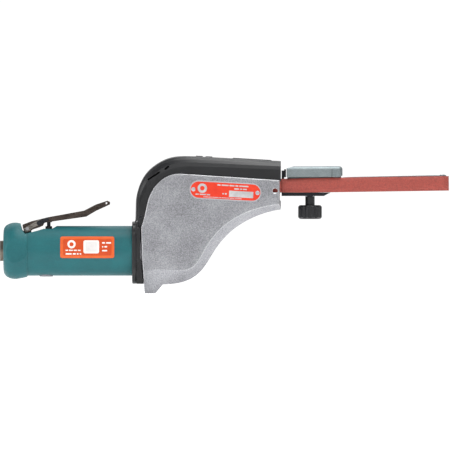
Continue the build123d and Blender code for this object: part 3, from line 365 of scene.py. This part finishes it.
def pressedFelt():
    # grey wool felt: soft, matt and fibrous
    material, tree, shader, place = startMaterial("pressedFelt",
                                                  {"Roughness": 0.95, "Sheen Weight": 0.3})
    fibres = addNode(tree, "TexNoise",
                     {"Vector": place, "Scale": 1 / 0.8, "Detail": 6.0, "Roughness": 0.8})
    tree.links.new(addNode(tree, "ValToRGB", {"Fac": fibres},
                           stops=((0.35, "#55524a"), (0.65, "#85817a"))), shader.inputs["Base Color"])
    flat = addNode(tree, "NewGeometry", output="Normal")
    tree.links.new(addNode(tree, "Bump", {"Height": fibres, "Distance": 0.2 * mm, "Normal": flat}),
                   shader.inputs["Normal"])
    return material


def studioFloor():
    # matt pale paper sweep
    material, tree, shader, place = startMaterial("studioFloor", {"Roughness": 0.9})
    tooth = addNode(tree, "TexNoise",
                    {"Vector": place, "Scale": 1 / 40.0, "Detail": 2.0, "Roughness": 0.5})
    tree.links.new(addNode(tree, "ValToRGB", {"Fac": tooth},
                           stops=((0.35, "#f6f6f6"), (0.65, "#fafafa"))), shader.inputs["Base Color"])
    shader.inputs["Emission Color"].default_value = (1, 1, 1, 1)
    # the sweep looks evenly lit, while the part gets only a little light from below
    direct = addNode(tree, "LightPath", output="Is Camera Ray")
    glow = addNode(tree, "MapRange", {"Value": direct, "To Min": 0.58, "To Max": 0.75})
    tree.links.new(glow, shader.inputs["Emission Strength"])
    return material


alongX = (1.0, 0.04, 0.04)
alongZ = (0.04, 0.04, 1.0)
finishes = {
    "grip": glassFilledNylon(),
    "aluminium": tumbledAluminium(),
    "black": mouldedBlackNylon(),
    "yoke": beadBlastedSteel(),
    "lever": stampedSteel(),
    "steel": turnedSteel("turnedSteel", "#8f8e90", "#c3c2c4", 0.22, 0.4, alongX),
    "fitting": turnedSteel("platedFitting", "#5f5850", "#8e857a", 0.3, 0.45, alongX),
    "arm": turnedSteel("groundSteel", "#77797d", "#a9abb0", 0.28, 0.45, alongZ),
    "wheel": turnedSteel("turnedAluminium", "#b0b1b5", "#d5d6da", 0.25, 0.4, alongX),
    "bronze": turnedSteel("turnedBronze", "#8a6a3c", "#b58f57", 0.28, 0.42, alongX),
    "spring": turnedSteel("drawnSpringWire", "#7c7b7c", "#b5b4b5", 0.25, 0.4, alongZ),
    "blackened": blackenedSteel(),
    "rubber": mouldedRubber(),
    "felt": pressedFelt(),
    "grit": aluminiumOxideCloth(),
    "backing": beltBacking(),
    "red": printedFoil("redPlateEnamel", "#d9321a", "#e64024", 0.0, 0.3, 0.45),
    "silverPrint": printedFoil("silverPlatePrint", "#b9b6b6", "#dad8d8", 0.6, 0.3, 0.45),
    "orange": printedFoil("orangeLabelFilm", "#dd5a20", "#e5662a", 0.0, 0.35, 0.5),
    "orangeField": printedFoil("orangeLabelField", "#c94410", "#d24e16", 0.0, 0.35, 0.5),
    "white": printedFoil("whiteLabelInk", "#e9e4de", "#f8f5f0", 0.0, 0.35, 0.5),
    "cream": printedFoil("creamLabelInk", "#ddd8d6", "#e9e4e2", 0.0, 0.4, 0.55),
}
print("scene: materials ready")

nodeFinish = {
    "handle_grip": "grip", "handle_label": "orange", "air_inlet_bushing": "fitting",
    "inlet_screen": "steel", "exhaust_cover": "black", "muffler_felt": "felt",
    "throttle_lever": "lever", "lever_pin": "steel", "lock_off_lever": "blackened",
    "lock_off_tabs": "blackened", "lock_off_spring": "spring", "valve_stem": "blackened",
    "valve_bushing": "black", "valve_spring": "spring", "regulator_screw": "arm",
    "regulator_o_ring": "rubber", "regulator_clip": "blackened", "motor_rear_plate": "arm",
    "motor_rear_bearing": "steel", "motor_cylinder": "arm", "motor_rotor": "steel",
    "motor_vanes": "bronze", "motor_front_plate": "arm", "motor_front_bearing": "steel",
    "collar": "black", "rear_skirt": "black", "head_housing": "aluminium", "name_plate": "wheel",
    "name_plate_rivets": "wheel", "drive_wheel_hub": "wheel", "drive_wheel_tyre": "rubber",
    "drive_wheel_screw": "blackened", "idler_axle": "steel", "idler_near": "wheel",
    "idler_near_bearing": "steel", "idler_far": "wheel", "idler_far_bearing": "steel",
    "idler_spacer": "steel", "belt_guard": "black", "guard_hinge_pin": "blackened",
    "guard_grip_pad": "rubber", "guard_plunger": "steel", "bar_guide": "bronze",
    "tension_bar": "blackened", "tension_spring": "spring", "nose_bumper": "rubber",
    "tracking_yoke": "yoke", "tracking_pivot_pin": "steel", "tracking_nut": "bronze",
    "tracking_knob": "black", "knob_clip": "spring", "tracking_spring": "spring", "contact_arm": "arm",
    "arm_clamp_screw": "blackened", "platen_near": "arm", "platen_far": "arm",
    "contact_wheel_hub": "wheel", "contact_wheel_tyre": "rubber", "contact_wheel_pin": "steel",
    "abrasive_belt": "grit",
}
for nodeName, finish in nodeFinish.items():
    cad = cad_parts[nodeName]
    cad.data.materials.clear()
    cad.data.materials.append(finishes[finish])
print("scene: finishes on the CAD parts")


def finishMesh(name, mesh, *finishNames):
    # closes the mesh code of a piece: outward normals, its materials, and an object in the scene
    bmesh.ops.recalc_face_normals(mesh, faces=mesh.faces)
    data = bpy.data.meshes.new(name)
    mesh.to_mesh(data)
    mesh.free()
    for finish in finishNames:
        data.materials.append(finishes[finish])
    piece = bpy.data.objects.new(name, data)
    bpy.context.scene.collection.objects.link(piece)
    return piece


# abrasive belt, the same path as the CAD belt, cut at the nose into a rear and a front half
belt = {
    "width": 12.7, "thickness": 1.0, "gap": 0.1, "wheel": 13.5, "tipWheel": 4.5, "driveX": 134.0,
    "noseX": 246.6, "noseZ": 57.0, "rise": 0.82, "twistEnd": 300.0, "front": 393.0, "step": 1.6,
    "wheelSteps": 14, "riseSteps": 26, "tipSteps": 12, "easeUp": 1.0, "easeOut": 0.6,
    "slideFrom": 165.0, "tiltFrom": 245.5, "tiltTo": 270.0,
}


def beltFrames(belt):
    # centre, width direction and outward direction at every station round the loop
    rise = radians(belt["rise"])
    radius = belt["wheel"] + belt["gap"] + belt["thickness"] / 2
    tipRadius = belt["tipWheel"] + belt["gap"] + belt["thickness"] / 2
    idlerX = belt["driveX"] + radius
    heightAt = lambda x: belt["noseZ"] + (x - belt["noseX"]) * tan(rise)
    idlerZ = heightAt(idlerX) - radius / cos(rise)
    tip = Vector((belt["front"] - tipRadius - belt["thickness"] / 2, 0, 0))
    tip.z = heightAt(tip.x)
    ahead = Vector((cos(rise), 0, sin(rise)))
    upright = Vector((-sin(rise), 0, cos(rise)))
    crest = Vector((idlerX, 0, idlerZ)) + upright * radius
    reach = (tip - crest).dot(ahead)
    lean = atan2(radius, reach) - asin(tipRadius / hypot(reach, radius))
    eased = lambda share, ease: pi / 2 * (share - ease * sin(2 * pi * share) / (2 * pi))
    frames = []
    # half of the loop: under the drive wheel, up the near side and out to the tip; the far half mirrors it
    for i in range(belt["wheelSteps"] + 1):
        a = pi / 2 * i / belt["wheelSteps"]
        out = Vector((0, -sin(a), -cos(a)))
        frames.append((Vector((belt["driveX"], 0, 0)) + out * radius, Vector((1, 0, 0)), out))
    for i in range(1, belt["riseSteps"] + 1):
        turn = eased(i / belt["riseSteps"], belt["easeUp"])
        centre = Vector((belt["driveX"], -radius, idlerZ * i / belt["riseSteps"]))
        frames.append((centre, Vector((cos(turn), -sin(turn), 0)), Vector((-sin(turn), -cos(turn), 0))))
    for i in range(1, belt["wheelSteps"] + 1):
        a = (pi / 2 - rise) * i / belt["wheelSteps"]
        out = Vector((-cos(a), 0, sin(a)))
        centre = Vector((idlerX, -radius, idlerZ)) + out * radius
        frames.append((centre, Vector((0, -1, 0)), out))
    along = ahead * cos(lean) + Vector((0, sin(lean), 0))
    start = crest + Vector((0, -radius, 0))
    twistLength = (belt["twistEnd"] - start.x) / along.x
    finish = tip + (ahead * sin(lean) - Vector((0, cos(lean), 0))) * tipRadius
    total = (finish - start).length
    count = int(total / belt["step"])
    for i in range(1, count + 1):
        travelled = total * i / count
        turn = eased(min(travelled / twistLength, 1.0), belt["easeOut"])
        width = Vector((0, -1, 0)) * cos(turn) - upright * sin(turn)
        width = (width - along * width.dot(along)).normalized()
        out = width.cross(along)
        frames.append((start + along * travelled, width, out))
    sweep = pi / 2 - lean
    for i in range(1, belt["tipSteps"] + 1):
        a = lean + sweep * i / belt["tipSteps"]
        out = ahead * sin(a) - Vector((0, cos(a), 0))
        frames.append((tip + out * tipRadius, -upright, out))
    return frames


def beltPiece(name, frames):
    # a flat strip with thickness: grit on its outer face, cloth on its inner face and edges
    half, thick = belt["width"] / 2, belt["thickness"] / 2
    mesh = bmesh.new()
    rows = []
    for centre, width, out in frames:
        corners = [(-half, thick), (-half * 0.33, thick), (half * 0.33, thick), (half, thick),
                   (half, -thick * 0.2), (half, -thick), (-half, -thick), (-half, -thick * 0.2)]
        rows.append([mesh.verts.new((centre + width * a + out * b) * mm) for a, b in corners])
    for first, second in zip(rows, rows[1:]):
        for i in range(8):
            j = (i + 1) % 8
            face = mesh.faces.new((first[i], first[j], second[j], second[i]))
            face.material_index = 0 if i in (0, 1, 2, 3, 7) else 1
            face.smooth = i in (0, 1, 2, 5)
    for row in (rows[0], rows[-1]):
        mesh.faces.new(row).material_index = 1
    return finishMesh(name, mesh, "grit", "backing")


nearHalf = beltFrames(belt)
mirror = lambda v: Vector((v.x, -v.y, v.z))
farHalf = [(mirror(c), mirror(w), mirror(o)) for c, w, o in reversed(nearHalf)]
cutX = belt["noseX"] + 1.0
rearNear = [f for f in nearHalf if f[0].x <= cutX]
rearFar = [f for f in farHalf if f[0].x <= cutX]
frontNear = [f for f in nearHalf if f[0].x > cutX - belt["step"]]
frontFar = [f for f in farHalf if f[0].x > cutX - belt["step"]]
rearBelt = beltPiece("beltRear", rearFar + rearNear[1:])
frontBelt = beltPiece("beltFront", frontNear + frontFar[1:])
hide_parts("abrasive_belt")
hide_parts("abrasive_belt")
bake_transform(rearBelt)
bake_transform(frontBelt)
print("scene: belt made")


# coil springs, each listed with the two bodies its ends sit on
springs = {
    "tensionSpring": {"node": "tension_spring", "along": 0, "wire": 0.65, "turns": 7,
                      "ends": ("tool_body", "tension")},
    "valveSpring": {"node": "valve_spring", "along": 2, "wire": 0.45, "turns": 6,
                    "ends": ("tool_body", "valve")},
    "trackingSpring": {"node": "tracking_spring", "along": 2, "wire": 0.35, "turns": 4.5,
                       "ends": ("tension", "yoke")},
}
coilMesh = {"perTurn": 24, "round": 10}  # stations in each turn, and points round the wire


def coilPiece(name, spring):
    # round wire wound inside the CAD spring's own box
    low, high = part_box(spring["node"])
    along, wire = spring["along"], spring["wire"] * mm
    middle = (low + high) / 2
    radius = (high.y - low.y) / 2 - wire
    axis = Vector([float(i == along) for i in range(3)])
    across = Vector((0, 1, 0))
    upward = axis.cross(across)
    first, length = low[along] + wire, high[along] - low[along] - 2 * wire
    count = int(spring["turns"] * coilMesh["perTurn"])
    points = coilMesh["round"]
    mesh = bmesh.new()
    rings = []
    for i in range(count + 1):
        turn = 2 * pi * spring["turns"] * i / count
        out = across * cos(turn) + upward * sin(turn)
        centre = middle + out * radius
        centre[along] = first + length * i / count
        angles = [2 * pi * k / points for k in range(points)]
        rings.append([mesh.verts.new(centre + (out * cos(a) + axis * sin(a)) * wire) for a in angles])
    for ring, following in zip(rings, rings[1:]):
        for i in range(points):
            j = (i + 1) % points
            mesh.faces.new((ring[i], ring[j], following[j], following[i])).smooth = True
    for ring in (rings[0], rings[-1]):
        mesh.faces.new(ring)
    piece = finishMesh(name, mesh, "spring")
    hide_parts(spring["node"])
    seat, far = middle.copy(), middle.copy()
    seat[along], far[along] = low[along], high[along]
    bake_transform(piece)


for name, spring in springs.items():
    coilPiece(name, spring)
print("scene: springs made")


# printing on the label and the plate: thin raised shapes, plain marks and bars in place of words
label = {"surface": 22.1, "thickness": 0.06}
plate = {"centre": (197.4, 52.2), "tilt": -3.2, "surface": 25.4, "thickness": 0.07}
inlayCut = {"band": 0.8, "sunk": 1.6}  # band height in millimetres, and layers kept below the surface


def roundedOutline(left, right, low, high, corner):
    points = []
    for x, z, start in ((right - corner, high - corner, 0), (left + corner, high - corner, 1),
                        (left + corner, low + corner, 2), (right - corner, low + corner, 3)):
        for i in range(9):
            a = pi / 2 * (start + i / 8)
            points.append((x + corner * cos(a), z + corner * sin(a)))
    return points


def inlay(name, outline, layer, finish, place, depthAt, thickness):
    # the flat outline is cut into bands, laid on the surface and given its thickness
    mesh = bmesh.new()
    mesh.faces.new([mesh.verts.new((x, 0, z)) for x, z in outline])
    low = min(z for x, z in outline)
    high = max(z for x, z in outline)
    for i in range(1, int((high - low) / inlayCut["band"]) + 1):
        bmesh.ops.bisect_plane(mesh, geom=mesh.verts[:] + mesh.edges[:] + mesh.faces[:],
                               plane_co=(0, 0, low + i * inlayCut["band"]), plane_no=(0, 0, 1))
    top = bmesh.ops.extrude_face_region(mesh, geom=mesh.faces[:])["geom"]
    lifted = {v for v in top if isinstance(v, bmesh.types.BMVert)}
    for vert in mesh.verts:
        x, z = place(vert.co.x, vert.co.z)
        sink = layer * thickness if vert in lifted else (layer - inlayCut["sunk"]) * thickness
        vert.co = Vector((x, -depthAt(z, sink), z)) * mm
    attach(finishMesh(name, mesh, finish), "tool_body")


def onLabel(name, outline, layer, finish):
    onGrip = lambda z, lift: (max((label["surface"] + lift) ** 2 - z ** 2, 0)) ** 0.5
    inlay(name, outline, layer, finish, lambda x, z: (x, z), onGrip, label["thickness"])


def onPlate(name, outline, layer, finish):
    a = radians(plate["tilt"])
    turned = lambda u, v: (plate["centre"][0] + u * cos(a) - v * sin(a),
                           plate["centre"][1] + u * sin(a) + v * cos(a))
    inlay(name, outline, layer, finish, turned, lambda z, lift: plate["surface"] + lift,
          plate["thickness"])


def barRow(put, name, start, middle, height, lengths, finish):
    # a row of short bars standing for printed words
    left = start
    for i, length in enumerate(lengths):
        put(f"{name}{i}", roundedOutline(left, left + length, middle - height / 2,
                                         middle + height / 2, height * 0.3),
            2, finish)
        left += length + height * 0.7


onLabel("labelField", roundedOutline(55.6, 98.0, -4.0, 10.4, 1.4), 1, "orangeField")
onLabel("labelSquare", roundedOutline(73.4, 87.1, -2.2, 9.3, 1.6), 2, "white")
onLabel("labelSquareField", roundedOutline(75.3, 85.2, -0.5, 7.6, 1.0), 3, "cream")
onLabel("labelDisc", roundedOutline(59.4, 66.6, 2.2, 9.4, 3.6), 2, "white")
onLabel("labelDiscCentre", roundedOutline(61.2, 64.8, 4.0, 7.6, 1.8), 3, "orangeField")
barRow(onLabel, "labelNear", 57.8, 0.5, 1.1, (2.2, 3.4, 2.8, 2.4), "white")
barRow(onLabel, "labelLow", 57.8, -2.6, 1.3, (5.4, 2.6, 1.6, 1.4), "white")
for height, lengths in ((7.0, (2.6, 4.4)), (3.6, (1.2, 2.4)), (0.2, (4.6,))):
    barRow(onLabel, f"labelRight{int(height)}", 89.6, height, 1.3, lengths, "white")

onPlate("plateField", roundedOutline(-30.5, 30.5, -7.1, 7.1, 7.0), 1, "red")
onPlate("plateDisc", roundedOutline(-24.4, -16.2, -2.7, 5.5, 4.0), 2, "silverPrint")
onPlate("plateDiscCentre", roundedOutline(-22.3, -18.3, -0.6, 3.4, 2.0), 3, "red")
onPlate("plateWindow", roundedOutline(3.3, 24.4, -4.9, 0.6, 0.3), 2, "silverPrint")
barRow(onPlate, "plateTop", -7.5, 5.0, 1.1, (3.0, 6.2, 4.4, 2.6, 8.0), "silverPrint")
barRow(onPlate, "plateSecond", 7.5, 2.4, 1.1, (4.2, 2.0, 3.4), "silverPrint")
barRow(onPlate, "plateNear", -26.0, -4.0, 1.0, (3.0, 5.4, 3.0), "silverPrint")
barRow(onPlate, "plateSmall", -2.6, -2.4, 1.2, (1.4, 1.6), "silverPrint")
barRow(onPlate, "plateLow", -19.0, -6.0, 0.5, (4.2, 3.0, 5.4, 2.2, 6.6, 3.8, 6.2), "silverPrint")
print("scene: printing made")


# two raised arrow shapes moulded into the top of the guard
guardMark = {"height": 0.6, "sunk": 0.4, "half": 9.0, "arrows": (171.5, 180.0)}
guardTop = lambda x: 82.3 - (x - 178.6) * 0.0565  # height of the guard's sloping top at x


def raisedMark(name, outline, base):
    mesh = bmesh.new()
    low = [mesh.verts.new((x * mm, y * mm, (base(x) - guardMark["sunk"]) * mm)) for x, y in outline]
    high = [mesh.verts.new((x * mm, y * mm, (base(x) + guardMark["height"]) * mm)) for x, y in outline]
    mesh.faces.new(low)
    mesh.faces.new(high)
    for i in range(len(outline)):
        j = (i + 1) % len(outline)
        mesh.faces.new((low[i], low[j], high[j], high[i]))
    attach(finishMesh(name, mesh, "black"), "guard")


for i, x in enumerate(guardMark["arrows"]):
    half = guardMark["half"]
    raisedMark(f"guardArrow{i}",
               [(x + 4, -half), (x + 6, -half), (x + 2, 0), (x + 6, half), (x + 4, half), (x, 0)],
               guardTop)
print("scene: guard marks made")


# stage, light and camera
studio = {"floorX": 0.2, "floorZ": cadBox[0][2], "floorGap": 0.0002, "floorSize": 20.0, "sky": 0.42,
          "backdrop": 1.05, "distance": 8.0, "centre": (0.197, 0.0226), "frameWidth": 0.394, "sensor": 36}

mesh = bmesh.new()
bmesh.ops.create_grid(mesh, x_segments=8, y_segments=8, size=studio["floorSize"])
data = bpy.data.meshes.new("floor")
mesh.to_mesh(data)
mesh.free()
floor = bpy.data.objects.new("floor", data)
floor.location = (studio["floorX"], 0, studio["floorZ"] - studio["floorGap"])
floor.data.materials.append(studioFloor())
bpy.context.scene.collection.objects.link(floor)

world = bpy.data.worlds.new("studio")
bpy.context.scene.world = world
world.use_nodes = True
tree = world.node_tree
tree.nodes.clear()
sky = addNode(tree, "Background", {"Color": (0.97, 0.98, 1.0, 1), "Strength": studio["sky"]})
paper = addNode(tree, "Background", {"Color": (1, 1, 1, 1), "Strength": studio["backdrop"]})
seen = addNode(tree, "LightPath", output="Is Camera Ray")
both = addNode(tree, "MixShader", {0: seen, 1: sky, 2: paper})
addNode(tree, "OutputWorld", {"Surface": both})

lamps = {
    "top": {"at": (0.3, -0.05, 0.55), "aim": (0.22, 0, 0.05), "size": (0.4, 0.4), "power": 2.6},
    "topBack": {"at": (0.2, 0.7, 0.7), "aim": (0.2, 0, 0.03), "size": (1.4, 0.5), "power": 2.5},
    "left": {"at": (-0.9, -0.3, 0.3), "aim": (0.1, 0, 0.0), "size": (0.5, 0.8), "power": 3.0},
    "front": {"at": (0.1, -1.4, 0.8), "aim": (0.2, 0, 0.0), "size": (1.6, 0.3), "power": 4.2},
}
for lampName, lamp in lamps.items():
    light = bpy.data.lights.new(lampName, "AREA")
    light.shape = "RECTANGLE"
    light.size, light.size_y = lamp["size"]
    light.energy = lamp["power"]
    holder = bpy.data.objects.new(lampName, light)
    holder.location = lamp["at"]
    aim = Vector(lamp["aim"]) - Vector(lamp["at"])
    holder.rotation_euler = aim.to_track_quat("-Z", "Y").to_euler()
    bpy.context.scene.collection.objects.link(holder)

lens = bpy.data.cameras.new("camera")
lens.sensor_width = studio["sensor"]
lens.lens = studio["sensor"] * studio["distance"] / studio["frameWidth"]
lens.clip_end = 50
camera = bpy.data.objects.new("camera", lens)
camera.location = (studio["centre"][0], -studio["distance"], studio["centre"][1])
camera.rotation_euler = (radians(90), 0, 0)
bpy.context.scene.collection.objects.link(camera)
bpy.context.scene.camera = camera
bpy.context.scene.view_settings.view_transform = "Standard"
print("scene: stage, light and camera ready")
